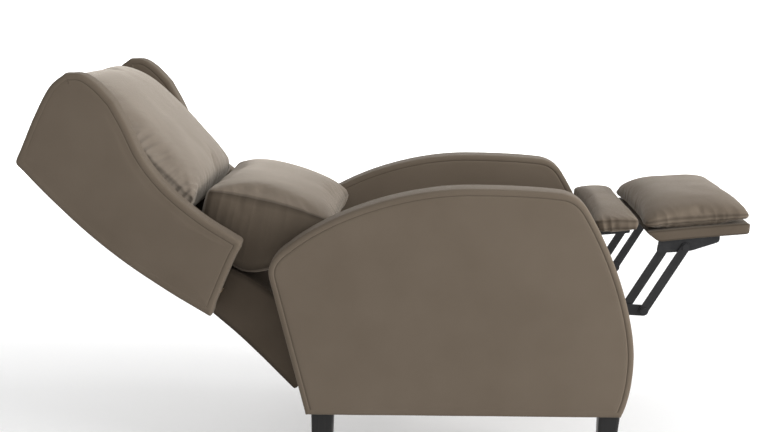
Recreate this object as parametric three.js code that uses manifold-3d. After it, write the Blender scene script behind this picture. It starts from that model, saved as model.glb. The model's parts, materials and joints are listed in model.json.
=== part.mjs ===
// Wing-back recliner armchair, modelled fully reclined with the footrest out.
// Units are millimetres, +Z is up and the chair faces -Y.
// Side outlines are written as [f, z]: f runs forward from the rear of the arms, z up from the floor.
import * as THREE from 'three';
import Module from 'manifold-3d';

const wasm = await Module();
wasm.setup();

// ---- driving dimensions ----
const FRAME_SHIFT = 254.83;   // the rear of the arms lies this far behind the middle of the chair
const CHAIR_WIDTH = 740;
const HALF = CHAIR_WIDTH / 2;
const ARM_THICK = 90;
const ARM_BOTTOM = 110;
const ARM_TOP = 621;
const PAD_WIDTH = 544;        // cushions that lie between the arms
const GAP = 0.3;              // clearance between neighbouring pieces
const WING_THICK = 62;
const BACK_BOW = 25;          // how far the back of the chair bows outwards
const BACK_LENGTH = 543;      // wing, from its lower rear corner to its upper rear corner
const BACK_LEAN = 141.05;     // direction of the back in the side view, degrees from straight ahead

// ---- pivots in the side view ----
const BACK_PIVOT = [174, 187];
const CARRIER_PIVOT = [627, 342];
const LINK_FOOT = [838, 331];
const LINK_HEAD = [928, 477];
const REAR_LINK_OFFSET = [-45, -3];
const MID_PAD_PIVOT = [717, 492];

// ---- materials ----
const COLOURS = {
  fabric: [0x6e6357, 0.95, 0],
  blackSteel: [0x2a2a2a, 0.45, 0.6],
  blackWood: [0x262524, 0.5, 0],
  timber: [0xb08c5e, 0.7, 0],
  spring: [0x8d9094, 0.35, 0.9],
  webbing: [0x2d2b28, 0.9, 0],
  plastic: [0x1c1c1c, 0.6, 0],
};

const chair = new THREE.Group();
chair.name = 'recliner';

function add(name, geometry, look) {
  const [color, roughness, metalness] = COLOURS[look];
  const material = new THREE.MeshStandardMaterial({ color, roughness, metalness });
  const mesh = new THREE.Mesh(geometry, material);
  mesh.name = name;
  chair.add(mesh);
}

// ---- outline helpers ----
const plus = (a, b) => [a[0] + b[0], a[1] + b[1]];

// A closed outline with each corner [f, z, cut] eased off over the length cut.
function eased(corners) {
  const shape = new THREE.Shape();
  const at = corners.map(([f, z]) => new THREE.Vector2(f, z));
  corners.forEach(([, , cut = 0], i) => {
    const here = at[i];
    const before = at[(i + at.length - 1) % at.length];
    const after = at[(i + 1) % at.length];
    const into = before.clone().sub(here).setLength(cut).add(here);
    const out = after.clone().sub(here).setLength(cut).add(here);
    if (i === 0) shape.moveTo(into.x, into.y);
    else shape.lineTo(into.x, into.y);
    if (cut > 0) shape.quadraticCurveTo(here.x, here.y, out.x, out.y);
  });
  shape.closePath();
  return shape;
}

function roundHole([f, z], radius) {
  const hole = new THREE.Path();
  hole.absarc(f, z, radius, 0, Math.PI * 2, true);
  return hole;
}

// A flat bar with round ends along the line from a to b.
function barOutline(a, b, width, holes = []) {
  const along = Math.atan2(b[1] - a[1], b[0] - a[0]);
  const shape = new THREE.Shape();
  shape.absarc(b[0], b[1], width / 2, along - Math.PI / 2, along + Math.PI / 2, false);
  shape.absarc(a[0], a[1], width / 2, along + Math.PI / 2, along + Math.PI * 1.5, false);
  shape.closePath();
  holes.forEach(([centre, radius]) => shape.holes.push(roundHole(centre, radius)));
  return shape;
}

// ---- solid helpers ----

// A side outline given thickness across the chair, from x0 to x1, its long edges eased by soft.
function across(shape, x0, x1, soft = 0, steps = 8) {
  const depth = Math.abs(x1 - x0);
  const geometry = new THREE.ExtrudeGeometry(shape, {
    depth: depth - 2 * soft,
    curveSegments: steps,
    bevelEnabled: soft > 0,
    bevelThickness: soft,
    bevelSize: soft,
    bevelOffset: -soft,
    bevelSegments: 3,
  });
  geometry.translate(0, 0, soft);
  const turn = new THREE.Matrix4().set(
    0, 0, -1, Math.max(x0, x1),
    -1, 0, 0, FRAME_SHIFT,
    0, 1, 0, 0,
    0, 0, 0, 1,
  );
  return geometry.applyMatrix4(turn);
}

function block(x0, x1, f0, f1, z0, z1, soft = 0) {
  const outline = eased([[f0, z0], [f1, z0], [f1, z1], [f0, z1]]);
  return across(outline, x0, x1, soft);
}

// A round bar straight across the chair at [f, z].
function crossBar([f, z], x0, x1, radius, sides = 20) {
  const geometry = new THREE.CylinderGeometry(radius, radius, Math.abs(x1 - x0), sides);
  geometry.rotateZ(Math.PI / 2);
  geometry.translate((x0 + x1) / 2, FRAME_SHIFT - f, z);
  return geometry;
}

// A shouldered rivet across the chair: a shank with a head at each end.
function rivet([f, z], x0, x1, shank, head, headThick) {
  const length = Math.abs(x1 - x0);
  const profile = [
    [0, 0], [head, 0], [head, headThick], [shank, headThick],
    [shank, length - headThick], [head, length - headThick], [head, length], [0, length],
  ].map(([r, h]) => new THREE.Vector2(r, h));
  const geometry = new THREE.LatheGeometry(profile, 20);
  geometry.rotateZ(-Math.PI / 2);
  geometry.translate(Math.min(x0, x1), FRAME_SHIFT - f, z);
  return geometry;
}

// A pin that stands out across the chair from xRoot to xTip and ends in a round head.
function pin([f, z], xRoot, xTip, shank, head) {
  const length = Math.abs(xTip - xRoot);
  const profile = [[0, 0], [shank, 0], [shank, length - 3], [head, length - 3], [head, length], [0, length]]
    .map(([r, h]) => new THREE.Vector2(r, h));
  const geometry = new THREE.LatheGeometry(profile, 20);
  geometry.rotateZ(xTip > xRoot ? -Math.PI / 2 : Math.PI / 2);
  geometry.translate(xRoot, FRAME_SHIFT - f, z);
  return geometry;
}

function toSolid(geometry) {
  const bare = geometry.clone();
  bare.deleteAttribute('normal');
  bare.deleteAttribute('uv');
  const welded = weld(bare);
  const mesh = new wasm.Mesh({
    numProp: 3,
    vertProperties: new Float32Array(welded.attributes.position.array),
    triVerts: new Uint32Array(welded.index.array),
  });
  return new wasm.Manifold(mesh);
}

function toGeometry(solid) {
  const mesh = solid.getMesh();
  const geometry = new THREE.BufferGeometry();
  geometry.setAttribute('position', new THREE.BufferAttribute(mesh.vertProperties, 3));
  geometry.setIndex(new THREE.BufferAttribute(mesh.triVerts, 1));
  const flat = geometry.toNonIndexed();
  flat.computeVertexNormals();
  return flat;
}

// Merge points that lie within a micrometre of each other and drop collapsed triangles.
function weld(geometry) {
  const position = geometry.attributes.position;
  const order = geometry.index ? Array.from(geometry.index.array) : [...Array(position.count).keys()];
  const seen = new Map();
  const points = [];
  const renumber = order.map((i) => {
    const p = [position.getX(i), position.getY(i), position.getZ(i)];
    const key = p.map((v) => Math.round(v * 1000)).join();
    if (!seen.has(key)) {
      seen.set(key, points.length / 3);
      points.push(...p);
    }
    return seen.get(key);
  });
  const index = [];
  for (let i = 0; i < renumber.length; i += 3) {
    const [a, b, c] = renumber.slice(i, i + 3);
    if (a !== b && b !== c && c !== a) index.push(a, b, c);
  }
  const welded = new THREE.BufferGeometry();
  welded.setAttribute('position', new THREE.Float32BufferAttribute(points, 3));
  welded.setIndex(index);
  return welded;
}

function cut(body, ...tools) {
  let solid = toSolid(body);
  tools.forEach((tool) => { solid = solid.subtract(toSolid(tool)); });
  return toGeometry(solid);
}

function join(...pieces) {
  const [first, ...rest] = pieces.map(toSolid);
  return toGeometry(rest.reduce((sum, piece) => sum.add(piece), first));
}

// A closed solid through matching rings of points; contour is one ring laid flat, to close both ends.
function loft(rings, contour) {
  if (THREE.ShapeUtils.isClockWise(contour)) {
    const turned = rings.map((ring) => [...ring].reverse());
    return loft(turned, [...contour].reverse());
  }
  const count = contour.length;
  const points = rings.flat();
  const caps = THREE.ShapeUtils.triangulateShape(contour, []);
  const index = [];
  for (let level = 0; level + 1 < rings.length; level += 1) {
    for (let i = 0; i < count; i += 1) {
      const a = level * count + i;
      const b = level * count + ((i + 1) % count);
      index.push(a, b, b + count, a, b + count, a + count);
    }
  }
  const top = (rings.length - 1) * count;
  caps.forEach(([a, b, c]) => index.push(a, c, b, top + a, top + b, top + c));
  let volume = 0;
  for (let i = 0; i < index.length; i += 3) {
    const [a, b, c] = index.slice(i, i + 3).map((n) => points[n]);
    volume += a.dot(b.clone().cross(c));
  }
  if (volume < 0) index.reverse();
  const geometry = new THREE.BufferGeometry().setFromPoints(points);
  geometry.setIndex(index);
  const faceted = geometry.toNonIndexed();
  faceted.computeVertexNormals();
  return faceted;
}

// A cushion: a side outline across the chair from x0 to x1 that draws in towards both ends.
function cushion(corners, x0, x1, round) {
  const outline = eased(corners).getPoints(4).filter((p, i, all) => (
    p.distanceTo(all[(i + all.length - 1) % all.length]) > 0.01));
  const box = new THREE.Box2().setFromPoints(outline);
  const centre = box.getCenter(new THREE.Vector2());
  const half = box.getSize(new THREE.Vector2()).multiplyScalar(0.5);
  const turns = [3, 2, 1, 0].map((k) => k * Math.PI / 6);
  const nearEnd = turns.map((a) => [round * (1 - Math.sin(a)), round * (1 - Math.cos(a))]);
  const levels = [
    ...nearEnd.map(([inwards, shrink]) => [x0 + inwards, shrink]),
    ...nearEnd.reverse().map(([inwards, shrink]) => [x1 - inwards, shrink]),
  ];
  const rings = levels.map(([x, shrink]) => outline.map((p) => {
    const f = centre.x + (p.x - centre.x) * (1 - shrink / half.x);
    const z = centre.y + (p.y - centre.y) * (1 - shrink / half.y);
    return new THREE.Vector3(x, FRAME_SHIFT - f, z);
  }));
  return loft(rings, outline);
}

// Calls build(name suffix, side sign) for the chair's right and left sides.
function bothSides(build) {
  build('right', -1);
  build('left', 1);
}

// ---- arms ----

// The arm in side view: leaning rear edge, long domed top and bulging front; inset shrinks it.
function armOutline(inset = 0, foot = ARM_BOTTOM) {
  const i = inset;
  const shape = new THREE.Shape();
  shape.moveTo(81 + i, foot);
  shape.lineTo(3 + i, 418);
  shape.bezierCurveTo(-4 + i, 447, 14 + i, 472 - i, 40 + i, 489 - i);
  shape.bezierCurveTo(133 + i * 0.7, 565 - i, 300, ARM_TOP - i, 447, ARM_TOP - i);
  shape.bezierCurveTo(520, ARM_TOP - i, 590, 618 - i, 640 - i / 2, 612 - i);
  shape.bezierCurveTo(665 - i / 2, 609 - i, 686 - i, 597 - i, 700 - i, 575 - i);
  shape.bezierCurveTo(753 - i, 490 - i / 2, 806 - i, 350, 807 - i, 245);
  shape.bezierCurveTo(807 - i, 190, 797 - i, 140, 781 - i, foot);
  shape.closePath();
  return shape;
}

function arms() {
  const frameThick = 36;
  const frameInset = 26;
  bothSides((side, s) => {
    const cover = across(armOutline(), s * (HALF - ARM_THICK), s * HALF, 13, 9);
    const middle = HALF - ARM_THICK / 2;
    const panelFrom = s * (middle - frameThick / 2);
    const panelTo = s * (middle + frameThick / 2);
    const pocket = across(
      armOutline(frameInset - GAP, ARM_BOTTOM - 5), panelFrom - s * GAP, panelTo + s * GAP, 0, 5);
    add(`arm_cover_${side}`, cut(cover, pocket), 'fabric');
    const panel = armOutline(frameInset, ARM_BOTTOM + 0.5);
    add(`arm_frame_${side}`, across(panel, panelFrom, panelTo, 0, 5), 'timber');
  });
}

// ---- legs ----

// Stacked rounded squares [height, half size, forward shift] closed into one solid.
function stackedSquares(levels, corner = 0.3) {
  const perCorner = 4;
  const ring = [];
  for (let quarter = 0; quarter < 4; quarter += 1) {
    for (let k = 0; k < perCorner; k += 1) {
      const angle = (quarter + k / (perCorner - 1)) * Math.PI / 2;
      const turn = (quarter + 0.5) * Math.PI / 2;
      const reach = (1 - corner) * Math.SQRT2;
      ring.push([reach * Math.cos(turn) + corner * Math.cos(angle),
        reach * Math.sin(turn) + corner * Math.sin(angle)]);
    }
  }
  const contour = ring.map(([x, y]) => new THREE.Vector2(x, y));
  const rings = levels.map(([z, half, shift]) => (
    ring.map(([x, y]) => new THREE.Vector3(x * half, y * half - shift, z))
  ));
  return loft(rings, contour);
}

// Square legs, each a little narrower towards its foot; the front pair leans back slightly.
function legs() {
  const glideThick = 4;
  const shapes = [
    { end: 'front', topMiddle: 757.5, topHalf: 24, footMiddle: 749, footHalf: 18 },
    { end: 'rear', topMiddle: 118, topHalf: 25, footMiddle: 116, footHalf: 22 },
  ];
  const steps = 8;
  bothSides((side, s) => {
    const x = s * (HALF - ARM_THICK / 2);
    shapes.forEach(({ end, topMiddle, topHalf, footMiddle, footHalf }) => {
      const levels = [];
      for (let i = 0; i <= steps; i += 1) {
        const t = i / steps;
        const z = glideThick + GAP + t * (ARM_BOTTOM - 2 * GAP - glideThick);
        const half = footHalf + (topHalf - footHalf) * t ** 0.8;
        levels.push([z, half, footMiddle + (topMiddle - footMiddle) * t ** 0.8]);
      }
      const leg = stackedSquares(levels);
      leg.translate(x, FRAME_SHIFT, 0);
      add(`leg_${end}_${side}`, leg, 'blackWood');
      const glide = new THREE.CylinderGeometry(11, 12, glideThick, 24);
      glide.rotateX(Math.PI / 2);
      glide.translate(x, FRAME_SHIFT - footMiddle, glideThick / 2);
      add(`glide_${end}_${side}`, glide, 'plastic');
    });
  });
}

// ---- fixed base between the arms ----
const PLATE_OUT = 274;        // outer face of the mechanism plates
const PLATE_THICK = 4;

function base() {
  bothSides((side, s) => {
    const outline = eased([
      [120, 160, 12], [600, 160, 12], [660, 315, 12], [660, 366, 8], [560, 366, 20], [470, 215, 30],
      [120, 215, 12],
    ]);
    outline.holes.push(roundHole(BACK_PIVOT, 7.3));
    const plate = across(outline, s * (PLATE_OUT - PLATE_THICK), s * PLATE_OUT);
    const pivot = pin(CARRIER_PIVOT, s * (PLATE_OUT - 1), s * 250, 6, 10);
    add(`mechanism_plate_${side}`, join(plate, pivot), 'blackSteel');
    add(`back_pivot_bolt_${side}`, rivet(BACK_PIVOT, s * 254, s * 279.5, 7, 11, 4), 'spring');
  });
  const inside = PLATE_OUT - PLATE_THICK - GAP;
  add('base_front_rail', block(-inside, inside, 530, 556, 162, 212), 'timber');
  add('base_rear_rail', block(-inside, inside, 222, 248, 162, 212), 'timber');
  const reach = HALF - ARM_THICK - GAP;
  add('mid_pad_hinge_rod', crossBar(MID_PAD_PIVOT, -reach, reach, 6), 'blackSteel');
}

// ---- seat ----
const SEAT_REAR = 158;
const SEAT_FRONT = 706;

function seatFrame() {
  const railFoot = 368;
  bothSides((side, s) => {
    const rail = eased([[165, 300], [560, railFoot], [688, railFoot], [688, 408], [165, 340]]);
    add(`seat_side_rail_${side}`, across(rail, s * 250, s * 274), 'timber');
  });
  const inside = 250 - GAP;
  add('seat_front_rail', block(-inside, inside, 656, 684, 372, 402), 'timber');
  add('seat_rear_rail', block(-inside, inside, 168, 196, 306, 336), 'timber');
  springs();
}

// Sinuous seat springs run from the rear rail to the front rail, just above both.
function springs() {
  const wire = 1.9;
  const swing = 24;
  const waves = 7;
  for (let n = 0; n < 4; n += 1) {
    const x = (n - 1.5) * 118;
    const points = [];
    const steps = waves * 6;
    for (let i = 0; i <= steps; i += 1) {
      const t = i / steps;
      const f = 180 + t * 490;
      const rise = 340.5 + t * 66 + 8 * Math.sin(Math.PI * t);
      const offset = swing * Math.sin(Math.PI * 2 * waves * t) * Math.min(1, 6 * t, 6 * (1 - t));
      points.push(new THREE.Vector3(x + offset, FRAME_SHIFT - f, rise));
    }
    const path = new THREE.CatmullRomCurve3(points);
    const section = new THREE.Shape();
    section.absarc(0, 0, wire, 0, Math.PI * 2, false);
    const spring = new THREE.ExtrudeGeometry(section, {
      steps, extrudePath: path, curveSegments: 3, bevelEnabled: false,
    });
    add(`seat_spring_${n + 1}`, spring, 'spring');
  }
}

function seatCushion() {
  const outline = [
    [SEAT_REAR + 8, 352, 20], [SEAT_FRONT - 12, 424, 20], [SEAT_FRONT - 2, 528, 46],
    [430, 486, 120], [SEAT_REAR - 14, 424, 26],
  ];
  add('seat_cushion', cushion(outline, -PAD_WIDTH / 2, PAD_WIDTH / 2, 20), 'fabric');
}

// ---- backrest ----

// A point of the backrest: along runs up the back from the wing's lower rear corner, out to the front.
function onBack(along, out) {
  const lean = THREE.MathUtils.degToRad(BACK_LEAN);
  const f = -128 + along * Math.cos(lean) + out * Math.sin(lean);
  const z = 332 + along * Math.sin(lean) - out * Math.cos(lean);
  return [f, z];
}

const bow = (along) => -BACK_BOW * Math.sin(Math.PI * THREE.MathUtils.clamp(along / BACK_LENGTH, 0, 1));

// The wing in side view; inset shrinks it, and lower moves its lower edge down the back.
function wingOutline(inset = 0, lower = 0) {
  const i = inset;
  const p = (along, out) => new THREE.Vector2(...onBack(along, out));
  const rear = [0.06, 0.25, 0.5, 0.75, 0.94]
    .map((t) => p(t * BACK_LENGTH - i / 8, bow(t * BACK_LENGTH) + i));
  const front = [
    p(586 - i, 180), p(576 - i, 228 - i), p(546 - i / 2, 249 - i), p(505, 253 - i), p(455, 245 - i),
    p(400, 221 - i), p(340, 191 - i), p(280, 173 - i), p(215, 165 - i), p(140, 166 - i),
  ];
  const shape = new THREE.Shape();
  shape.moveTo(rear[0].x, rear[0].y);
  shape.splineThru(rear.slice(1));
  const crown = [p(BACK_LENGTH + 6 - i, i), p(BACK_LENGTH + 14 - i, 34 + i)];
  shape.quadraticCurveTo(crown[0].x, crown[0].y, crown[1].x, crown[1].y);
  shape.splineThru(front);
  const toe = [p(90 + lower, 172 - i), p(46 + lower, 178 - i), p(40 + lower, 140)];
  shape.lineTo(toe[0].x, toe[0].y);
  shape.quadraticCurveTo(toe[1].x, toe[1].y, toe[2].x, toe[2].y);
  const heel = [p(8 + lower, 28 + i), p(lower, i)];
  shape.lineTo(heel[0].x, heel[0].y);
  shape.quadraticCurveTo(heel[1].x, heel[1].y, rear[0].x, rear[0].y);
  return shape;
}

function wings() {
  const boardThick = 18;
  bothSides((side, s) => {
    const outer = HALF - 2;
    const cover = across(wingOutline(), s * (outer - WING_THICK), s * outer, 15, 5);
    const middle = outer - WING_THICK / 2;
    const boardFrom = s * (middle - boardThick / 2);
    const boardTo = s * (middle + boardThick / 2);
    const pocket = across(
      wingOutline(20, -60), boardFrom - s * GAP, boardTo + s * GAP, 0, 3);
    add(`wing_cover_${side}`, cut(cover, pocket), 'fabric');
    add(`wing_board_${side}`, across(wingOutline(26, 8), boardFrom, boardTo, 0, 3), 'timber');
  });
}

const INNER = HALF - 2 - WING_THICK - 1;   // half the width between the wings

// A strip that follows the back of the chair between two heights, from out0 to out1 in front of it.
function backStrip(from, to, out0, out1, steps = 6) {
  const shape = new THREE.Shape();
  const count = steps;
  for (let i = 0; i <= count; i += 1) {
    const along = from + (to - from) * i / count;
    const [f, z] = onBack(along, bow(along) + out0);
    if (i === 0) shape.moveTo(f, z);
    else shape.lineTo(f, z);
  }
  for (let i = count; i >= 0; i -= 1) {
    const along = from + (to - from) * i / count;
    const [f, z] = onBack(along, bow(along) + out1);
    shape.lineTo(f, z);
  }
  shape.closePath();
  return shape;
}

function backFrame() {
  add('back_outer_panel', across(backStrip(8, 548, 2, 16), -INNER, INNER, 3), 'fabric');
  bothSides((side, s) => {
    const post = across(backStrip(14, 530, 17.4, 50), s * (INNER - 30), s * (INNER - 2));
    add(`back_post_${side}`, post, 'timber');
  });
  const inside = INNER - 30 - GAP;
  [['lower', 20, 50], ['upper', 500, 530]].forEach(([name, from, to]) => {
    add(`back_rail_${name}`, across(backStrip(from, to, 17.4, 44, 2), -inside, inside), 'timber');
  });
  const roll = [
    onBack(549, 6), onBack(562, 12), onBack(590, 100), onBack(590, 124), onBack(549, 68),
  ].map((corner) => corner.concat(6));
  add('back_top_roll', cushion(roll, -INNER, INNER, 4), 'fabric');
  for (let n = 0; n < 3; n += 1) {
    const at = 130 + n * 130;
    const strap = across(backStrip(at, at + 50, 51.6, 54, 2), -INNER + 2, INNER - 2);
    add(`back_strap_${n + 1}`, strap, 'webbing');
  }
}

function lowerBack() {
  const outline = eased([
    [-122, 312, 14], [48, 142, 18], [136, 222, 24], [-32, 398, 26], [-112, 340, 12],
  ]);
  const slots = [-1, 1].map((s) => across(bracketOutline(1), s * 257, s * 266));
  const pad = across(outline, -PAD_WIDTH / 2, PAD_WIDTH / 2, 12);
  add('lower_back_pad', cut(pad, ...slots), 'fabric');
}

// The steel arm that carries the back and turns on the back pivot.
function bracketOutline(grow = 0, hole = 0) {
  const shape = barOutline([-70, 322], BACK_PIVOT, 40 + 2 * grow);
  if (hole > 0) shape.holes.push(roundHole(BACK_PIVOT, hole));
  return shape;
}

function backBrackets() {
  bothSides((side, s) => {
    add(`back_bracket_${side}`, across(bracketOutline(0, 7.3), s * 259, s * 264), 'blackSteel');
  });
}

function backCushions() {
  const head = [
    onBack(200, 42).concat(26), onBack(540, 66).concat(20), onBack(598, 132).concat(20),
    onBack(602, 184).concat(24), onBack(560, 238).concat(34), onBack(470, 248).concat(50),
    onBack(218, 246).concat(56), onBack(188, 150).concat(40),
  ];
  add('head_cushion', cushion(head, -INNER + 2, INNER - 2, 34), 'fabric');
  const lumbar = [
    [-164, 500, 26], [-60, 428, 30], [142, 490, 24], [168, 545, 26], [60, 606, 60],
    [-60, 634, 44], [-132, 618, 26],
  ];
  add('lumbar_cushion', cushion(lumbar, -PAD_WIDTH / 2, PAD_WIDTH / 2, 30), 'fabric');
}

// ---- footrest linkage ----
const REAR_FOOT = plus(LINK_FOOT, REAR_LINK_OFFSET);
const REAR_HEAD = plus(LINK_HEAD, REAR_LINK_OFFSET);
const LINK_WIDTH = 20;
const LAYER = { carrier: [255, 259], front: [260, 264], rear: [250, 254], bracket: [255, 259] };

function layered(shape, s, [near, far]) {
  return across(shape, s * near, s * far, 0, 12);
}

function footrestLinks() {
  const shank = 5;
  const hole = shank + GAP;
  const toFront = (at, s) => pin(at, s * 256, s * 267.5, shank, 7.5);
  const toRear = (at, s) => pin(at, s * 258, s * 246.5, shank, 7.5);
  const underBoard = eased([[864, 464, 8], [892, 464, 8], [940, 468, 10], [1004, 489, 8],
    [1004, 507.2, 0], [869, 494.5, 0]]);
  bothSides((side, s) => {
    const carrier = barOutline(CARRIER_PIVOT, LINK_FOOT, 25, [[CARRIER_PIVOT, 6.3]]);
    const bar = layered(carrier, s, LAYER.carrier);
    const carrierBar = join(bar, toFront(LINK_FOOT, s), toRear(REAR_FOOT, s));
    add(`carrier_bar_${side}`, carrierBar, 'blackSteel');
    const front = barOutline(LINK_FOOT, LINK_HEAD, LINK_WIDTH, [[LINK_FOOT, hole], [LINK_HEAD, hole]]);
    add(`front_link_${side}`, layered(front, s, LAYER.front), 'blackSteel');
    const rear = barOutline(REAR_FOOT, REAR_HEAD, LINK_WIDTH, [[REAR_FOOT, hole], [REAR_HEAD, hole]]);
    add(`rear_link_${side}`, layered(rear, s, LAYER.rear), 'blackSteel');
    const bracket = layered(underBoard, s, LAYER.bracket);
    const bracketBar = join(bracket, toFront(LINK_HEAD, s), toRear(REAR_HEAD, s));
    add(`footrest_bracket_${side}`, bracketBar, 'blackSteel');
  });
  add('carrier_cross_bar', crossBar([700, 338], -254.7, 254.7, 8), 'blackSteel');
}

// ---- footrest pads ----
function footrestPads() {
  const board = eased([[868, 495], [1058, 513], [1060, 531], [842, 511]]);
  add('footrest_board', across(board, -PAD_WIDTH / 2, PAD_WIDTH / 2, 3), 'fabric');
  const pad = [
    [834, 515, 8], [1048, 533, 8], [1072, 554, 16], [1040, 582, 24], [900, 594, 42], [832, 566, 26],
  ];
  add('footrest_pad', cushion(pad, -PAD_WIDTH / 2, PAD_WIDTH / 2, 18), 'fabric');
  const mid = [[728, 510, 8], [822, 517, 8], [822, 552, 14], [724, 546, 16]];
  add('mid_pad', cushion(mid, -PAD_WIDTH / 2, PAD_WIDTH / 2, 10), 'fabric');
  bothSides((side, s) => {
    const arm = eased([[708, 483, 9], [727, 483, 9], [732, 500, 6], [806, 505.5, 4], [806, 515, 0],
      [728, 509, 0], [708, 501, 9]]);
    arm.holes.push(roundHole(MID_PAD_PIVOT, 6.3));
    add(`mid_pad_arm_${side}`, across(arm, s * 240, s * 244), 'blackSteel');
  });
}

arms();
legs();
base();
seatFrame();
seatCushion();
wings();
backFrame();
lowerBack();
backBrackets();
backCushions();
footrestLinks();
footrestPads();

export default chair;
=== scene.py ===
import json
import math

import bpy
import numpy as np
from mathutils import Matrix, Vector, noise


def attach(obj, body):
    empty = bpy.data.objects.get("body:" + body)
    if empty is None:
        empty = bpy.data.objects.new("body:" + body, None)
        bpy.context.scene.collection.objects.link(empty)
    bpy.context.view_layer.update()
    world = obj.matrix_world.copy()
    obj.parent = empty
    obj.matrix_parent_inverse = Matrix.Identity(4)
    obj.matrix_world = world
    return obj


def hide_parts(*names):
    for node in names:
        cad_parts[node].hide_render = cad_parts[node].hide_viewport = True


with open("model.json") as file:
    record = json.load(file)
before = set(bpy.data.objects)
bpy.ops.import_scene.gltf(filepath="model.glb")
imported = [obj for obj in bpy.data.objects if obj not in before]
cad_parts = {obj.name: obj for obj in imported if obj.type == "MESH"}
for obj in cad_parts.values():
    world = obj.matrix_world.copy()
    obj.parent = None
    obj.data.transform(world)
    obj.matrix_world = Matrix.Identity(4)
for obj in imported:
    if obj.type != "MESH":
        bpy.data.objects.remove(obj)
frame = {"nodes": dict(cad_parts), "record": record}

# ---- driving sizes, in millimetres along the side view: f forward from the arms' rear, z up ----
FRAME_SHIFT = 254.83  # f of the row frame's origin
HALF_WIDTH = 370  # half of the chair's width
ARM_THICK = 90
WING_THICK = 62
PAD_HALF = 272  # half of the width between the arms, where the seat and the leg pads fit
WING_GAP = 305  # half of the width between the wings, where the head cushion fits
BACK_ORIGIN = (-128, 332)  # the wing's lower rear corner
BACK_LEAN = math.radians(141.05)  # direction of the back, up from level
BACK_BOW = 25
BACK_LENGTH = 543
CAMERA_SPOT = (363, 1042, -3433)  # f, z and x
CAMERA_YAW = math.radians(-1.98)
CAMERA_PITCH = math.radians(8.92)
CAMERA_LENS = 67.08

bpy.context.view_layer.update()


def place(f, z, x):
    """Side-view millimetres to metres in the row frame."""
    return np.stack(
        np.broadcast_arrays(
            np.asarray(x, float) / 1000,
            (FRAME_SHIFT - np.asarray(f, float)) / 1000,
            np.asarray(z, float) / 1000,
        ),
        axis=-1,
    )


def on_back(along, out):
    """A point of the back: along runs up from the wing's lower rear corner, out to the front."""
    f = BACK_ORIGIN[0] + along * math.cos(BACK_LEAN) + out * math.sin(BACK_LEAN)
    z = BACK_ORIGIN[1] + along * math.sin(BACK_LEAN) - out * math.cos(BACK_LEAN)
    return f, z


def bowed(along, out=0):
    """The back's rear side bows backwards between its two ends."""
    return along, out - BACK_BOW * math.sin(math.pi * along / BACK_LENGTH)


# ---- materials ----
def new_material(name):
    material = bpy.data.materials.new(name)
    material.use_nodes = True
    nodes = material.node_tree.nodes
    nodes.clear()
    shader = nodes.new("ShaderNodeBsdfPrincipled")
    output = nodes.new("ShaderNodeOutputMaterial")
    material.node_tree.links.new(shader.outputs["BSDF"], output.inputs["Surface"])
    return material, shader


def node(material, kind, **settings):
    made = material.node_tree.nodes.new(kind)
    for key, value in settings.items():
        setattr(made, key, value)
    return made


def link(material, source, target):
    material.node_tree.links.new(source, target)


def object_coords(material, scale=(1, 1, 1)):
    coords = node(material, "ShaderNodeTexCoord")
    mapping = node(material, "ShaderNodeMapping")
    mapping.inputs["Scale"].default_value = scale
    link(material, coords.outputs["Object"], mapping.inputs["Vector"])
    return mapping.outputs["Vector"]


def noise_texture(material, vector, scale, detail=2.0, roughness=0.5):
    texture = node(material, "ShaderNodeTexNoise")
    texture.inputs["Scale"].default_value = scale
    texture.inputs["Detail"].default_value = detail
    texture.inputs["Roughness"].default_value = roughness
    link(material, vector, texture.inputs["Vector"])
    return texture.outputs["Fac"]


def ramp(material, value, stops):
    made = node(material, "ShaderNodeValToRGB")
    elements = made.color_ramp.elements
    while len(elements) < len(stops):
        elements.new(0.5)
    for element, (position, colour) in zip(elements, stops):
        element.position = position
        element.color = (*colour, 1)
    link(material, value, made.inputs["Fac"])
    return made.outputs["Color"]


def bump(material, shader, height, strength, distance):
    made = node(material, "ShaderNodeBump")
    made.inputs["Strength"].default_value = strength
    made.inputs["Distance"].default_value = distance
    link(material, height, made.inputs["Height"])
    link(material, made.outputs["Normal"], shader.inputs["Normal"])


def mix_values(material, a, b, share):
    made = node(material, "ShaderNodeMix", data_type="FLOAT")
    made.inputs["Factor"].default_value = share
    link(material, a, made.inputs[2])
    link(material, b, made.inputs[3])
    return made.outputs[0]


def microfibre(name, dark, light, sheen, nap=(1, 1, 1)):
    """Suede-like pile: brushed light and dark patches, a fine grain, dark seams and a soft sheen."""
    material, shader = new_material(name)
    vector = object_coords(material)
    brushed = object_coords(material, nap)
    patches = noise_texture(material, brushed, 7.0, 3.0, 0.55)
    grain = noise_texture(material, vector, 900.0, 2.0, 0.6)
    mottled = mix_values(material, patches, grain, 0.3)
    colour = ramp(material, mottled, [(0.34, dark), (0.66, light)])
    seam = node(material, "ShaderNodeAttribute", attribute_name="seam")
    stitched = node(material, "ShaderNodeMix", data_type="RGBA")
    faint = node(material, "ShaderNodeMath", operation="MULTIPLY")
    faint.inputs[1].default_value = 0.6
    link(material, seam.outputs["Fac"], faint.inputs[0])
    link(material, faint.outputs[0], stitched.inputs["Factor"])
    link(material, colour, stitched.inputs[6])
    stitched.inputs[7].default_value = (*[0.35 * c for c in dark], 1)
    link(material, stitched.outputs[2], shader.inputs["Base Color"])
    shader.inputs["Roughness"].default_value = 0.88
    shader.inputs["Specular IOR Level"].default_value = 0.12
    shader.inputs["Sheen Weight"].default_value = sheen
    shader.inputs["Sheen Roughness"].default_value = 0.42
    shader.inputs["Sheen Tint"].default_value = (0.84, 0.77, 0.68, 1)
    weave = noise_texture(material, vector, 1500.0, 2.0, 0.7)
    rumple = noise_texture(material, vector, 30.0, 3.0, 0.5)
    bump(material, shader, mix_values(material, weave, rumple, 0.5), 0.35, 0.0012)
    return material


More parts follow.
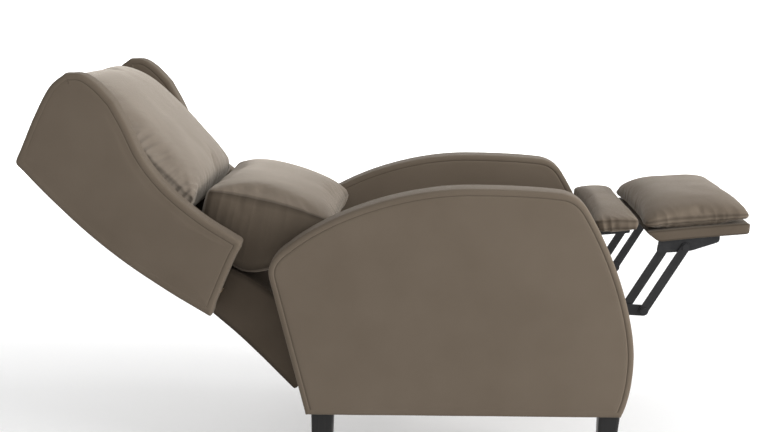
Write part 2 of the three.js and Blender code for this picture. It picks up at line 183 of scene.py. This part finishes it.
def powder_coat():
    """Black powder-coated steel with a fine orange-peel texture and worn, slightly shinier spots."""
    material, shader = new_material("black powder coat")
    vector = object_coords(material)
    wear = noise_texture(material, vector, 55.0, 4.0, 0.6)
    colour = ramp(material, wear, [(0.35, (0.009, 0.009, 0.01)), (0.75, (0.018, 0.018, 0.019))])
    link(material, colour, shader.inputs["Base Color"])
    shader.inputs["Specular IOR Level"].default_value = 0.3
    gloss = node(material, "ShaderNodeMapRange")
    gloss.inputs["To Min"].default_value = 0.5
    gloss.inputs["To Max"].default_value = 0.34
    link(material, wear, gloss.inputs["Value"])
    link(material, gloss.outputs["Result"], shader.inputs["Roughness"])
    bump(material, shader, noise_texture(material, vector, 1300.0, 1.0), 0.25, 0.0004)
    return material


def lacquered_wood():
    """Black satin lacquer; the grain shows through as faint long streaks."""
    material, shader = new_material("black lacquered wood")
    vector = object_coords(material, (60, 60, 3))
    grain = noise_texture(material, vector, 4.0, 5.0, 0.6)
    colour = ramp(material, grain, [(0.3, (0.006, 0.006, 0.006)), (0.75, (0.012, 0.011, 0.011))])
    link(material, colour, shader.inputs["Base Color"])
    shader.inputs["Roughness"].default_value = 0.42
    shader.inputs["Specular IOR Level"].default_value = 0.3
    bump(material, shader, grain, 0.2, 0.0005)
    return material


def sawn_timber():
    """Unfinished beech and plywood: long grain streaks over a slow change of colour."""
    material, shader = new_material("sawn timber")
    streaks = noise_texture(material, object_coords(material, (14, 1.4, 14)), 9.0, 5.0, 0.65)
    slow = noise_texture(material, object_coords(material), 5.0, 2.0)
    colour = ramp(
        material,
        mix_values(material, streaks, slow, 0.35),
        [(0.3, (0.20, 0.135, 0.075)), (0.55, (0.30, 0.215, 0.13)), (0.75, (0.37, 0.275, 0.18))],
    )
    link(material, colour, shader.inputs["Base Color"])
    shader.inputs["Roughness"].default_value = 0.72
    bump(material, shader, streaks, 0.3, 0.0006)
    return material


def zinc_steel():
    material, shader = new_material("zinc plated steel")
    vector = object_coords(material)
    spangle = noise_texture(material, vector, 240.0, 3.0, 0.6)
    colour = ramp(material, spangle, [(0.3, (0.42, 0.43, 0.44)), (0.7, (0.58, 0.59, 0.60))])
    link(material, colour, shader.inputs["Base Color"])
    shader.inputs["Metallic"].default_value = 1.0
    shader.inputs["Roughness"].default_value = 0.34
    bump(material, shader, spangle, 0.15, 0.0003)
    return material


def woven_strap():
    """Elastic webbing: fine wavy ribs along the strap."""
    material, shader = new_material("elastic webbing")
    ribs = node(material, "ShaderNodeTexWave", bands_direction="Z")
    ribs.inputs["Scale"].default_value = 160.0
    ribs.inputs["Distortion"].default_value = 1.2
    link(material, object_coords(material), ribs.inputs["Vector"])
    shades = [(0.2, (0.014, 0.013, 0.012)), (0.8, (0.05, 0.046, 0.042))]
    colour = ramp(material, ribs.outputs["Fac"], shades)
    link(material, colour, shader.inputs["Base Color"])
    shader.inputs["Roughness"].default_value = 0.85
    bump(material, shader, ribs.outputs["Fac"], 0.5, 0.0008)
    return material


def moulded_plastic():
    material, shader = new_material("black moulded plastic")
    scuffs = noise_texture(material, object_coords(material), 300.0, 3.0)
    colour = ramp(material, scuffs, [(0.3, (0.010, 0.010, 0.010)), (0.7, (0.02, 0.02, 0.02))])
    link(material, colour, shader.inputs["Base Color"])
    shader.inputs["Roughness"].default_value = 0.5
    bump(material, shader, scuffs, 0.2, 0.0003)
    return material


FABRIC_ARM = microfibre("microfibre, arms", (0.114, 0.090, 0.067), (0.128, 0.102, 0.077), 0.10)
# The wings and the outer back: the arms' fabric painted darker, painted shade.
FABRIC_WING_PAINTED_SHADE = microfibre("microfibre, wings", (0.104, 0.082, 0.061), (0.118, 0.094, 0.071), 0.10)
# The lower back and the top roll: the arms' fabric painted much darker, painted shade for where they sit
# in shadow between the wings and the arms.
FABRIC_BACK_PAINTED_SHADE = microfibre("microfibre, lower back", (0.066, 0.051, 0.037), (0.080, 0.062, 0.046), 0.06)
# The lumbar and seat cushions: the arms' fabric painted lighter, painted light for the lamps' light on
# their tops.
FABRIC_CUSHION_PAINTED_LIGHT = microfibre(
    "microfibre, back cushions", (0.132, 0.107, 0.083), (0.168, 0.138, 0.109), 0.42, (1.0, 0.45, 0.45)
)
# The head cushion: the arms' fabric painted much lighter, painted light on its face turned up towards
# the front lamp.
FABRIC_HEAD_PAINTED_LIGHT = microfibre(
    "microfibre, head cushion", (0.142, 0.117, 0.093), (0.196, 0.165, 0.134), 0.55, (1.0, 0.45, 0.45)
)
# The cushion sides and the footrest board: the arms' fabric painted darker, painted shade.
FABRIC_BOXING_PAINTED_SHADE = microfibre(
    "microfibre, cushion sides", (0.082, 0.064, 0.047), (0.100, 0.079, 0.059), 0.10
)
FABRIC_PAD = microfibre("microfibre, leg pads", (0.112, 0.088, 0.066), (0.140, 0.112, 0.085), 0.2)
HARD_LOOKS = {
    "frame_timber": sawn_timber(),
    "black_wood": lacquered_wood(),
    "black_steel": powder_coat(),
    "bright_steel": zinc_steel(),
    "webbing": woven_strap(),
    "glide_plastic": moulded_plastic(),
}


def dress_frame_nodes():
    """Every CAD node that stays in view gets the material of its slot in the record."""
    slots = {s["node"]: s["material_slot"] for s in frame["record"]["subparts"]}
    for name, obj in frame["nodes"].items():
        look = HARD_LOOKS.get(slots[name])
        if look is None:
            continue
        obj.data.materials.clear()
        obj.data.materials.append(look)


# ---- mesh helpers ----
def make_object(name, points, faces, material):
    mesh = bpy.data.meshes.new(name)
    mesh.from_pydata([tuple(p) for p in points], [], [tuple(f) for f in faces])
    mesh.validate()
    mesh.materials.append(material)
    for polygon in mesh.polygons:
        polygon.use_smooth = True
    obj = bpy.data.objects.new(name, mesh)
    bpy.context.scene.collection.objects.link(obj)
    return obj


def vertices_of(obj):
    flat = np.empty(len(obj.data.vertices) * 3)
    obj.data.vertices.foreach_get("co", flat)
    return flat.reshape(-1, 3)


def normals_of(obj):
    flat = np.empty(len(obj.data.vertices) * 3)
    obj.data.vertex_normals.foreach_get("vector", flat)
    return flat.reshape(-1, 3)


def set_vertices(obj, points):
    obj.data.vertices.foreach_set("co", np.asarray(points).ravel())
    obj.data.update()


def store(obj, name, values):
    attribute = obj.data.attributes.new(name, "FLOAT", "POINT")
    attribute.data.foreach_set("value", np.asarray(values, dtype=np.float32))


def stored(obj, name):
    values = np.empty(len(obj.data.vertices), dtype=np.float32)
    obj.data.attributes[name].data.foreach_get("value", values)
    return values


def face_outwards(obj):
    """Flips the mesh if it encloses a negative volume."""
    mesh = obj.data
    points = vertices_of(obj)
    mesh.calc_loop_triangles()
    triangles = np.array([t.vertices[:] for t in mesh.loop_triangles])
    a, b, c = (points[triangles[:, k]] for k in range(3))
    volume = np.einsum("ij,ij->i", a, np.cross(b, c)).sum()
    if volume < 0:
        mesh.flip_normals()


def make_active(obj):
    bpy.ops.object.select_all(action="DESELECT")
    bpy.context.view_layer.objects.active = obj
    obj.select_set(True)


def subdivide(obj, levels=1):
    modifier = obj.modifiers.new("finer", "SUBSURF")
    modifier.levels = modifier.render_levels = levels
    make_active(obj)
    bpy.ops.object.modifier_apply(modifier=modifier.name)


def smooth_noise(points, scale, seed):
    """Slow random values from -1 to 1 at these points, in metres."""
    shift = Vector((seed * 3.7, seed * 1.9, seed * 5.3))
    return np.array([noise.noise(Vector(p) * scale + shift) for p in points])


# ---- flat upholstered panels: the arms and the wings ----
def bezier(p0, p1, p2, p3, count):
    t = np.linspace(0, 1, count, endpoint=False)[:, None]
    p0, p1, p2, p3 = (np.array(p, float) for p in (p0, p1, p2, p3))
    return (1 - t) ** 3 * p0 + 3 * (1 - t) ** 2 * t * p1 + 3 * (1 - t) * t**2 * p2 + t**3 * p3


def spline(points, count):
    """Evenly spaced points on a smooth curve through these points, the last one left out."""
    points = np.array(points, float)
    padded = np.vstack([2 * points[0] - points[1], points, 2 * points[-1] - points[-2]])
    made = []
    for i in range(len(points) - 1):
        a, b, c, d = padded[i : i + 4]
        for t in np.linspace(0, 1, 24, endpoint=False):
            square = (2 * a - 5 * b + 4 * c - d) * t**2
            cube = (3 * b - a - 3 * c + d) * t**3
            made.append(0.5 * (2 * b + (c - a) * t + square + cube))
    return resample(np.array(made + [points[-1]]), count)[:-1]


def resample(line, count):
    steps = np.r_[0, np.cumsum(np.linalg.norm(np.diff(line, axis=0), axis=1))]
    wanted = np.linspace(0, steps[-1], count + 1)
    return np.stack([np.interp(wanted, steps, line[:, k]) for k in range(line.shape[1])], axis=1)


def arm_outline():
    """The arm in side view, with how much of a seam follows each point of it."""
    top = 621
    parts = [
        (bezier((81, 110), (55, 213), (29, 315), (3, 418), 60), 1),
        (bezier((3, 418), (-4, 447), (14, 472), (40, 489), 22), 1),
        (bezier((40, 489), (133, 565), (300, top), (447, top), 80), 1),
        (bezier((447, top), (520, top), (590, 618), (640, 612), 40), 1),
        (bezier((640, 612), (665, 609), (686, 597), (700, 575), 22), 1),
        (bezier((700, 575), (753, 490), (806, 350), (807, 245), 70), 1),
        (bezier((807, 245), (807, 190), (797, 140), (781, 110), 30), 1),
        (bezier((781, 110), (548, 110), (314, 110), (81, 110), 110), 0),
    ]
    return join_outline(parts)


def wing_outline():
    """The wing in side view, with how much of a seam follows each point of it."""

    def back(*pairs):
        return [on_back(*pair) for pair in pairs]

    bow = [bowed(t * BACK_LENGTH) for t in (0.03, 0.2, 0.4, 0.6, 0.8, 0.955)]
    front = [(455, 244), (400, 221), (340, 191), (280, 173), (215, 165), (140, 166), (72, 174)]
    parts = [
        (spline(back((42, 160), (38, 136), (24, 84), (8, 28)), 40), 1),
        (spline(back((8, 28), (-1, 3), bow[0]), 12), 0.3),
        (spline(back(*bow), 110), 0),
        (spline(back(bow[-1], (541, 2), (551, 34)), 14), 0),
        (spline(back((551, 34), (571, 110), (583, 180), (574, 226)), 50), 0.45),
        (spline(back((574, 226), (545, 247), (505, 251), (455, 244)), 40), 1),
        (spline(back(*front), 110), 1),
        (spline(back((72, 174), (50, 175), (42, 160)), 10), 1),
    ]
    return join_outline(parts)


def join_outline(parts):
    line = np.vstack([p for p, _ in parts])
    seam = np.concatenate([np.full(len(p), float(w)) for p, w in parts])
    area = np.sum(line[:, 0] * np.roll(line[:, 1], -1) - np.roll(line[:, 0], -1) * line[:, 1])
    if area < 0:
        line, seam = line[::-1], seam[::-1]
    kernel = np.hanning(9)
    kernel /= kernel.sum()
    seam = np.convolve(np.r_[seam[-4:], seam, seam[:4]], kernel, "valid")
    return line, seam


def inwards(line):
    """Unit vectors pointing into the outline at each of its points."""
    along = np.roll(line, -2, axis=0) - np.roll(line, 2, axis=0)
    along /= np.linalg.norm(along, axis=1)[:, None]
    return np.stack([-along[:, 1], along[:, 0]], axis=1)


def inset_ring(line, into, inset):
    """The outline moved inwards, with the points that would cross at a corner spread along the gap."""
    ring = line + into * inset
    nearest = np.linalg.norm(ring[:, None] - line[None], axis=2).min(axis=1)
    good = np.flatnonzero(nearest > abs(inset) - 0.6)
    if inset < 4 or len(good) == len(ring):
        return ring
    count = len(ring)
    where = np.r_[good - count, good, good + count]
    kept = np.vstack([ring[good]] * 3)
    return np.stack([np.interp(np.arange(count), where, kept[:, k]) for k in range(2)], axis=1)


# One side of a boxed panel, from mid-thickness to the face: distance in from the outline and share of
# the half-thickness. The dip near 15 mm is the sewn seam.
BAND = [
    (0.2, 0.0), (0.3, 0.35), (0.5, 0.62), (1.0, 0.78), (1.9, 0.875), (3.6, 0.935), (6.4, 0.966),
    (10.0, 0.98), (12.8, 0.98), (14.2, 0.968), (15.0, 0.95), (15.8, 0.968), (17.2, 0.982),
    (20.0, 0.99), (27.0, 0.998),
]
SEAM_INSET = 15.0
FACE_SHARE = 0.998  # share of the half-thickness where the flat face begins


def panel_rings(outline, x_mid, half, centre, crown, seed):
    """Rings from one face's middle over the rim to the other's: side view, x, and share of seam."""
    line, seam = outline
    into = inwards(line)
    reach = np.abs(line - centre).max(axis=0)
    pucker = np.array([noise.noise(Vector((i * 0.33, seed, 0))) for i in range(len(line))])
    plain_thread = np.zeros(len(line))
    sides = []
    for side in (-1, 1):
        rings = []
        for inset, share in BAND:
            plain = np.interp(inset, [10, 20], [0.98, 0.99])
            groove = 12.8 < inset < 17
            depth = share + (1 - seam) * (plain - share) if groove else np.full(len(line), share)
            ripple = 0.3 * pucker * math.exp(-abs(inset - SEAM_INSET) / 6) * seam
            thread = seam if inset == SEAM_INSET else plain_thread
            rings.append((inset_ring(line, into, inset), x_mid + side * (half * depth + ripple), thread))
        inner = rings[-1][0]
        for shrink in (0.93, 0.84, 0.72, 0.58, 0.43, 0.28, 0.13):
            ring = centre + (inner - centre) * shrink
            offset = ((ring - centre) / reach) ** 2
            swell = crown * (1 - shrink**6) * (1 - 0.5 * offset.sum(axis=1))
            rings.append((ring, x_mid + side * (half * FACE_SHARE + swell), plain_thread))
        sides.append(rings)
    return sides[0][::-1] + sides[1][1:]


def panel_faces(levels, count):
    """Quads between the rings, and a fan of triangles to the middle point of each face."""
    faces = []
    for level in range(levels - 1):
        a = level * count
        for i in range(count):
            j = (i + 1) % count
            faces.append((a + i, a + j, a + count + j, a + count + i))
    end = (levels - 1) * count
    first, last = end + count, end + count + 1
    for i in range(count):
        j = (i + 1) % count
        faces.append((first, j, i))
        faces.append((last, end + i, end + j))
    return faces


def boxed_panel(name, outline, x_mid, thick, centre, crown, material, seed):
    """A padded panel: two flat faces and a boxing strip that is sewn to each of them in a seam."""
    half = thick / 2
    centre = np.array(centre)
    rings = panel_rings(outline, x_mid, half, centre, crown, seed)
    points = [place(ring[:, 0], ring[:, 1], x) for ring, x, _ in rings]
    points += [place(*centre, x_mid + s * (half * FACE_SHARE + crown))[None] for s in (-1, 1)]
    faces = panel_faces(len(rings), len(outline[0]))
    obj = make_object(name, np.vstack(points), faces, material)
    store(obj, "seam", np.r_[np.concatenate([thread for _, _, thread in rings]), 0, 0])
    face_outwards(obj)
    bumps = smooth_noise(vertices_of(obj), 9.0, seed) * 0.0004 - 0.0003
    set_vertices(obj, vertices_of(obj) + normals_of(obj) * bumps[:, None])
    return obj


def build_arms_and_wings():
    for side, s in (("right", -1), ("left", 1)):
        arm = boxed_panel(
            f"arm_{side}", arm_outline(), s * (HALF_WIDTH - ARM_THICK / 2), ARM_THICK,
            (430, 350), 1.5, FABRIC_ARM, 1 + s,
        )
        finish_soft(arm, "base", [f"arm_cover_{side}"])
        wing = boxed_panel(
            f"wing_{side}", wing_outline(), s * (HALF_WIDTH - 2 - WING_THICK / 2), WING_THICK,
            on_back(300, 95), 2.0, FABRIC_WING_PAINTED_SHADE, 5 + s,
        )
        finish_soft(wing, "backrest", [f"wing_cover_{side}"])


def finish_soft(obj, body, nodes):
    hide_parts(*nodes)
    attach(obj, body)


# ---- stuffed pieces ----
def box_surface(n_t, n_b, n_w):
    """The six gridded sides of a box that share their edge points: the grid places and the faces."""
    index = {}
    faces = []

    def patch(corner, a, b, m, n):
        for p in range(m):
            for q in range(n):
                quad = [(p, q), (p + 1, q), (p + 1, q + 1), (p, q + 1)]
                face = []
                for u, v in quad:
                    key = tuple(origin + u * du + v * dv for origin, du, dv in zip(corner, a, b))
                    face.append(index.setdefault(key, len(index)))
                faces.append(face)

    patch((0, 0, n_w), (1, 0, 0), (0, 1, 0), n_t, n_b)
    patch((0, 0, 0), (0, 1, 0), (1, 0, 0), n_b, n_t)
    patch((0, 0, 0), (1, 0, 0), (0, 0, 1), n_t, n_w)
    patch((0, n_b, 0), (0, 0, 1), (1, 0, 0), n_w, n_t)
    patch((0, 0, 0), (0, 0, 1), (0, 1, 0), n_w, n_b)
    patch((n_t, 0, 0), (0, 1, 0), (0, 0, 1), n_b, n_w)
    return list(index), faces


def stuffed(
    name, top, bottom, half_width, counts, material, crown, sag=2, bulge=4, arch=0, pull=6.0, boxing=None
):
    """A cushion sewn from a top, a bottom and a boxing strip.

    top and bottom are its two side seams in side view, from the rear to the front. crown and sag are
    how far the top and bottom swell beyond the seams, bulge how far the boxing does. arch lifts the top
    seam in the middle of the width, and pull draws the sides in between the corners.
    """
    n_t, n_b, n_w = counts
    top_line = resample(spline_full(top), n_t)
    bottom_line = resample(spline_full(bottom), n_t)
    places, faces = box_surface(n_t, n_b, n_w)
    i, j, k = np.array(places).T
    t, w = i / n_t, k / n_w
    b = np.sin((2 * j / n_b - 1) * 1.45) / math.sin(1.45)
    side_view = bottom_line[i] + (top_line[i] - bottom_line[i]) * w[:, None]
    chord = (top_line[-1] + bottom_line[-1] - top_line[0] - bottom_line[0]) / 2
    chord /= np.linalg.norm(chord)
    up = np.array([-chord[1], chord[0]])
    up *= np.sign(up @ (top_line - bottom_line).mean(axis=0))
    u = 2 * t - 1
    dome = np.sqrt(((1 - np.abs(u) ** 3.0) * (1 - np.abs(b) ** 3.4)).clip(0))
    wall = np.sin(np.pi * w)
    lift = np.where(k == n_w, crown * dome, 0) - np.where(k == 0, sag * dome, 0)
    lift += arch * w * (1 - np.abs(b) ** 2.5)
    corner = np.abs(u) ** 10 * np.abs(b) ** 14 * (pull > 0)
    end = (k > 0) * (k < n_w) * ((i == n_t) * 1.0 - (i == 0))
    side = (k > 0) * (k < n_w) * ((j == n_b) * 1.0 - (j == 0))
    along = bulge * wall * end * np.sqrt(1 - np.abs(b) ** 6)
    along -= pull * np.abs(u) ** 4 * np.sign(u) * (1 - b**2) + 7 * corner * np.sign(u)
    x = b * half_width + bulge * wall * side * np.sqrt(1 - np.abs(u) ** 6)
    x -= pull * np.abs(b) ** 4 * np.sign(b) * (1 - u**2) + 7 * corner * np.sign(b)
    side_view = side_view + up * lift[:, None] + chord * along[:, None]
    obj = make_object(name, place(side_view[:, 0], side_view[:, 1], x), faces, material)
    edge = (i == 0) | (i == n_t) | (j == 0) | (j == n_b)
    store(obj, "seam", 1.0 * edge * ((k == 0) | (k == n_w)))
    store(obj, "run", t * np.linalg.norm(top_line[-1] - top_line[0]))
    store(obj, "ahead", t)
    store(obj, "across", b)
    store(obj, "inside", (1 - np.abs(b)) * half_width)
    face_outwards(obj)
    # The side faces take the boxing material, a darker copy of the fabric: painted shade on the boxing.
    if boxing:
        obj.data.materials.append(boxing)
        for polygon in obj.data.polygons:
            flat = all(0 < k[v] < n_w or j[v] in (0, n_b) for v in polygon.vertices)
            polygon.material_index = int(flat and len({j[v] for v in polygon.vertices}) == 1)
    return obj


def spline_full(points):
    points = list(points)
    if len(points) < 3:
        return np.array(points, float)
    return np.vstack([spline(points, 120), np.array(points[-1], float)])


def settle(obj, pressure=4.0, cap=0.010, steps=10):
    """Inflates the cushion as cloth for a moment, so that its panels pull against the seams."""
    rest = vertices_of(obj)
    cloth = obj.modifiers.new("cloth", "CLOTH")
    settings = cloth.settings
    settings.quality = 3
    settings.mass = 0.35
    settings.use_pressure = True
    settings.uniform_pressure_force = pressure
    settings.tension_stiffness = settings.compression_stiffness = 15
    settings.bending_stiffness = 0.5
    settings.effector_weights.gravity = 0
    cloth.collision_settings.use_collision = False
    cloth.point_cache.frame_start = 1
    cloth.point_cache.frame_end = steps
    scene = bpy.context.scene
    for step in range(1, steps + 1):
        scene.frame_set(step)
    make_active(obj)
    bpy.ops.object.modifier_apply(modifier=cloth.name)
    scene.frame_set(1)
    shift = vertices_of(obj) - rest
    shift -= shift.mean(axis=0)
    size = np.linalg.norm(shift, axis=1)
    factor = np.where(size > 1e-9, cap * np.tanh(size / cap) / np.maximum(size, 1e-9), 0)
    set_vertices(obj, rest + shift * factor[:, None])


def gather(obj, seed, hollows=1.0, side=None, ends=None):
    """Slow hollows all over, and puckers where the cover is gathered into a seam.

    side and ends are (depth, reach, pitch) in millimetres: how high the folds stand, how far they run
    in from the seam, and how far apart they are.
    """
    points = vertices_of(obj)
    ahead, across, run = stored(obj, "ahead"), stored(obj, "across"), stored(obj, "run")
    inside = stored(obj, "inside")
    length = run.max()
    half = inside.max()
    free = np.sqrt(((1 - np.abs(2 * ahead - 1) ** 6) * (1 - np.abs(across) ** 8)).clip(0))
    waves = smooth_noise(points, 6.0, seed) * 2.4 + smooth_noise(points, 15.0, seed + 3) * 1.0
    push = hollows * free * waves
    if side:
        depth, reach, pitch = side
        fade = np.exp(-((inside / reach) ** 1.4))
        push += depth * folds(run, inside, np.sign(across), pitch, seed) * fade
    if ends:
        depth, reach, pitch = ends
        near = np.minimum(ahead, 1 - ahead) * length
        fade = np.exp(-((near / reach) ** 1.4))
        push += depth * folds(across * half, near, np.sign(ahead - 0.5), pitch, seed + 1) * fade
    push -= 0.9 * stored(obj, "seam")
    set_vertices(obj, points + normals_of(obj) * push[:, None] / 1000)


def folds(run, distance, lane, pitch, seed):
    """Narrow ridges across a seam that fan out and end at different distances from it."""
    made = [
        noise.noise(Vector(((r + 0.25 * d) / pitch, d / (pitch * 4.5) + seed, q * 3)))
        for r, d, q in zip(run, distance, lane)
    ]
    return 0.9 - 3.4 * np.abs(np.array(made))


def cushions():
    head = stuffed(
        "soft_head_cushion",
        [on_back(188, 168), on_back(300, 178), on_back(420, 194), on_back(500, 198), on_back(592, 182)],
        [on_back(190, 66), on_back(330, 60), on_back(470, 66), on_back(586, 118)],
        WING_GAP - 3, (42, 56, 7), FABRIC_HEAD_PAINTED_LIGHT, crown=31, sag=3, bulge=4, arch=17, pull=0,
    )
    lumbar = stuffed(
        "soft_lumbar_cushion",
        [(-150, 600), (-98, 598), (-26, 586), (61, 561), (150, 522)],
        [(-168, 508), (-116, 450), (-54, 414), (40, 440), (136, 500)],
        PAD_HALF - 7, (34, 56, 8), FABRIC_CUSHION_PAINTED_LIGHT, crown=20, sag=2, bulge=4, arch=5, pull=3,
        boxing=FABRIC_BOXING_PAINTED_SHADE,
    )
    seat = stuffed(
        "soft_seat_cushion",
        [(150, 424), (300, 442), (480, 474), (690, 518)],
        [(170, 356), (300, 372), (480, 400), (686, 428)],
        PAD_HALF - 8, (44, 48, 6), FABRIC_CUSHION_PAINTED_LIGHT, crown=8, sag=3, bulge=4,
    )
    foot = stuffed(
        "soft_footrest_pad",
        [(832, 526), (900, 535), (980, 541), (1073, 548)],
        [(834, 518), (900, 525), (980, 532), (1071, 540)],
        PAD_HALF - 1, (34, 62, 2), FABRIC_PAD, crown=42, sag=1, bulge=2, pull=4,
    )
    mid = stuffed(
        "soft_mid_pad",
        [(722, 532), (770, 535), (827, 534)],
        [(727, 511), (770, 514), (826, 518)],
        PAD_HALF - 1, (16, 62, 3), FABRIC_PAD, crown=16, sag=1, bulge=2, pull=1,
    )
    for obj in (head, lumbar, seat, foot, mid):
        settle(obj)
        subdivide(obj, 2)
    gather(head, 2, side=(2.8, 46, 19), ends=(0.8, 22, 34))
    gather(lumbar, 4, side=(1.4, 30, 38), ends=(1.0, 26, 40))
    gather(seat, 6, side=(1.2, 26, 30))
    gather(foot, 8, side=(1.3, 24, 27), ends=(0.9, 20, 33))
    gather(mid, 10, hollows=0.6, side=(1.5, 22, 19), ends=(0.4, 14, 30))
    finish_soft(head, "backrest", ["head_cushion"])
    finish_soft(lumbar, "backrest", ["lumbar_cushion"])
    finish_soft(seat, "base", ["seat_cushion"])
    finish_soft(foot, "footrest", ["footrest_pad"])
    finish_soft(mid, "mid_pad", ["mid_pad"])


def firm_parts():
    """The pieces that are board or firm foam under a stretched cover."""
    bow = (8, 140, 275, 410, 540)
    lower = stuffed(
        "soft_lower_back",
        [(-96, 424), (-50, 400), (20, 350), (80, 290), (132, 232)],
        [(-138, 322), (-80, 272), (-30, 224), (10, 183), (50, 142)],
        PAD_HALF - 1, (40, 40, 10), FABRIC_BACK_PAINTED_SHADE, crown=1, sag=1, bulge=1, pull=0,
    )
    panel = stuffed(
        "soft_outer_back",
        [on_back(*bowed(along, 14)) for along in bow],
        [on_back(*bowed(along, 2)) for along in bow],
        WING_GAP - 1, (60, 40, 3), FABRIC_WING_PAINTED_SHADE, crown=1, sag=1, bulge=0.5, pull=0,
    )
    roll = stuffed(
        "soft_top_roll",
        [on_back(545, 62), on_back(584, 120)],
        [on_back(545, 8), on_back(572, 96)],
        WING_GAP - 2, (16, 50, 8), FABRIC_BACK_PAINTED_SHADE, crown=1, sag=2, bulge=1, pull=0,
    )
    board = stuffed(
        "soft_footrest_board",
        [(838, 512), (950, 523), (1068, 533)],
        [(867, 490), (950, 499), (1066, 509)],
        PAD_HALF - 1, (30, 50, 5), FABRIC_BOXING_PAINTED_SHADE, crown=0.5, sag=0.5, bulge=1, pull=0,
    )
    homes = {
        lower: ("backrest", "lower_back_pad"),
        panel: ("backrest", "back_outer_panel"),
        roll: ("backrest", "back_top_roll"),
        board: ("footrest", "footrest_board"),
    }
    for seed, (obj, (body, cad)) in enumerate(homes.items()):
        subdivide(obj)
        gather(obj, 12 + seed, hollows=0.35)
        finish_soft(obj, body, [cad])


# ---- stage, light and camera ----
def backdrop_paper():
    """White paper that glows, painted light so that shadows on it stay pale; the glow is dimmer up to
    the chair's middle and on the camera's side, painted shadow, and brighter beyond it.
    """
    material, shader = new_material("backdrop paper")
    fibres = noise_texture(material, object_coords(material), 60.0, 3.0)
    colour = ramp(material, fibres, [(0, (0.50, 0.50, 0.50)), (1, (0.52, 0.52, 0.52))])
    link(material, colour, shader.inputs["Base Color"])
    shader.inputs["Roughness"].default_value = 0.9
    shader.inputs["Emission Color"].default_value = (1, 1, 1, 1)
    # Emission grows with x: a painted glow, with painted shadow where it is dimmest under and in front
    # of the chair.
    distance = node(material, "ShaderNodeSeparateXYZ")
    painted_glow = node(material, "ShaderNodeMapRange")
    painted_glow.inputs["From Min"].default_value = 0.2
    painted_glow.inputs["From Max"].default_value = 1.1
    painted_glow.inputs["To Min"].default_value = 0.43
    painted_glow.inputs["To Max"].default_value = 0.62
    link(material, object_coords(material), distance.inputs["Vector"])
    link(material, distance.outputs["X"], painted_glow.inputs["Value"])
    link(material, painted_glow.outputs["Result"], shader.inputs["Emission Strength"])
    return material


def backdrop():
    """A pale floor that rises into a wall far behind the chair."""
    profile = [(-6.0, 0.0), (4.5, 0.0)]
    radius = 2.5
    for k in range(1, 13):
        angle = k / 12 * math.pi / 2
        profile.append((4.5 + radius * math.sin(angle), radius * (1 - math.cos(angle))))
    profile.append((7.0, 9.0))
    points = [(x, y, z) for x, z in profile for y in (-14.0, 14.0)]
    faces = [(2 * i, 2 * i + 1, 2 * i + 3, 2 * i + 2) for i in range(len(profile) - 1)]
    floor = make_object("backdrop", points, faces, backdrop_paper())


def area_light(name, location, target, size, power, colour=(1, 1, 1)):
    light = bpy.data.lights.new(name, "AREA")
    light.shape = "RECTANGLE"
    light.size, light.size_y = size
    light.energy = power
    light.color = colour
    obj = bpy.data.objects.new(name, light)
    obj.location = location
    obj.rotation_euler = (Vector(target) - Vector(location)).to_track_quat("-Z", "Y").to_euler()
    bpy.context.scene.collection.objects.link(obj)
    return obj


def lighting():
    world = bpy.data.worlds.new("studio")
    bpy.context.scene.world = world
    world.use_nodes = True
    background = world.node_tree.nodes["Background"]
    background.inputs["Color"].default_value = (1, 1, 1, 1)
    background.inputs["Strength"].default_value = 0.62
    area_light("overhead", (-0.4, -0.4, 3.4), (0.0, 0.0, 0.4), (3.0, 3.0), 10)
    area_light("front", (-1.7, -4.3, 1.7), (0.0, 0.2, 0.6), (2.6, 2.6), 270)
    area_light("side fill", (-4.6, 0.6, 1.5), (0.0, 0.0, 0.4), (3.0, 2.4), 20)
    area_light("wall wash", (4.0, 0.0, 3.5), (7.0, 0.0, 2.0), (8.0, 2.0), 500)


def camera():
    data = bpy.data.cameras.new("camera")
    data.lens = CAMERA_LENS
    data.sensor_width = 36
    data.clip_end = 60
    obj = bpy.data.objects.new("camera", data)
    obj.location = place(*CAMERA_SPOT)
    level = math.cos(CAMERA_PITCH)
    forward = Vector(
        (math.cos(CAMERA_YAW) * level, -math.sin(CAMERA_YAW) * level, -math.sin(CAMERA_PITCH))
    )
    obj.rotation_euler = forward.to_track_quat("-Z", "Y").to_euler()
    bpy.context.scene.collection.objects.link(obj)
    bpy.context.scene.camera = obj


dress_frame_nodes()
build_arms_and_wings()
cushions()
firm_parts()
backdrop()
lighting()
camera()
bpy.context.scene.view_settings.view_transform = "Standard"

bpy.context.view_layer.update()
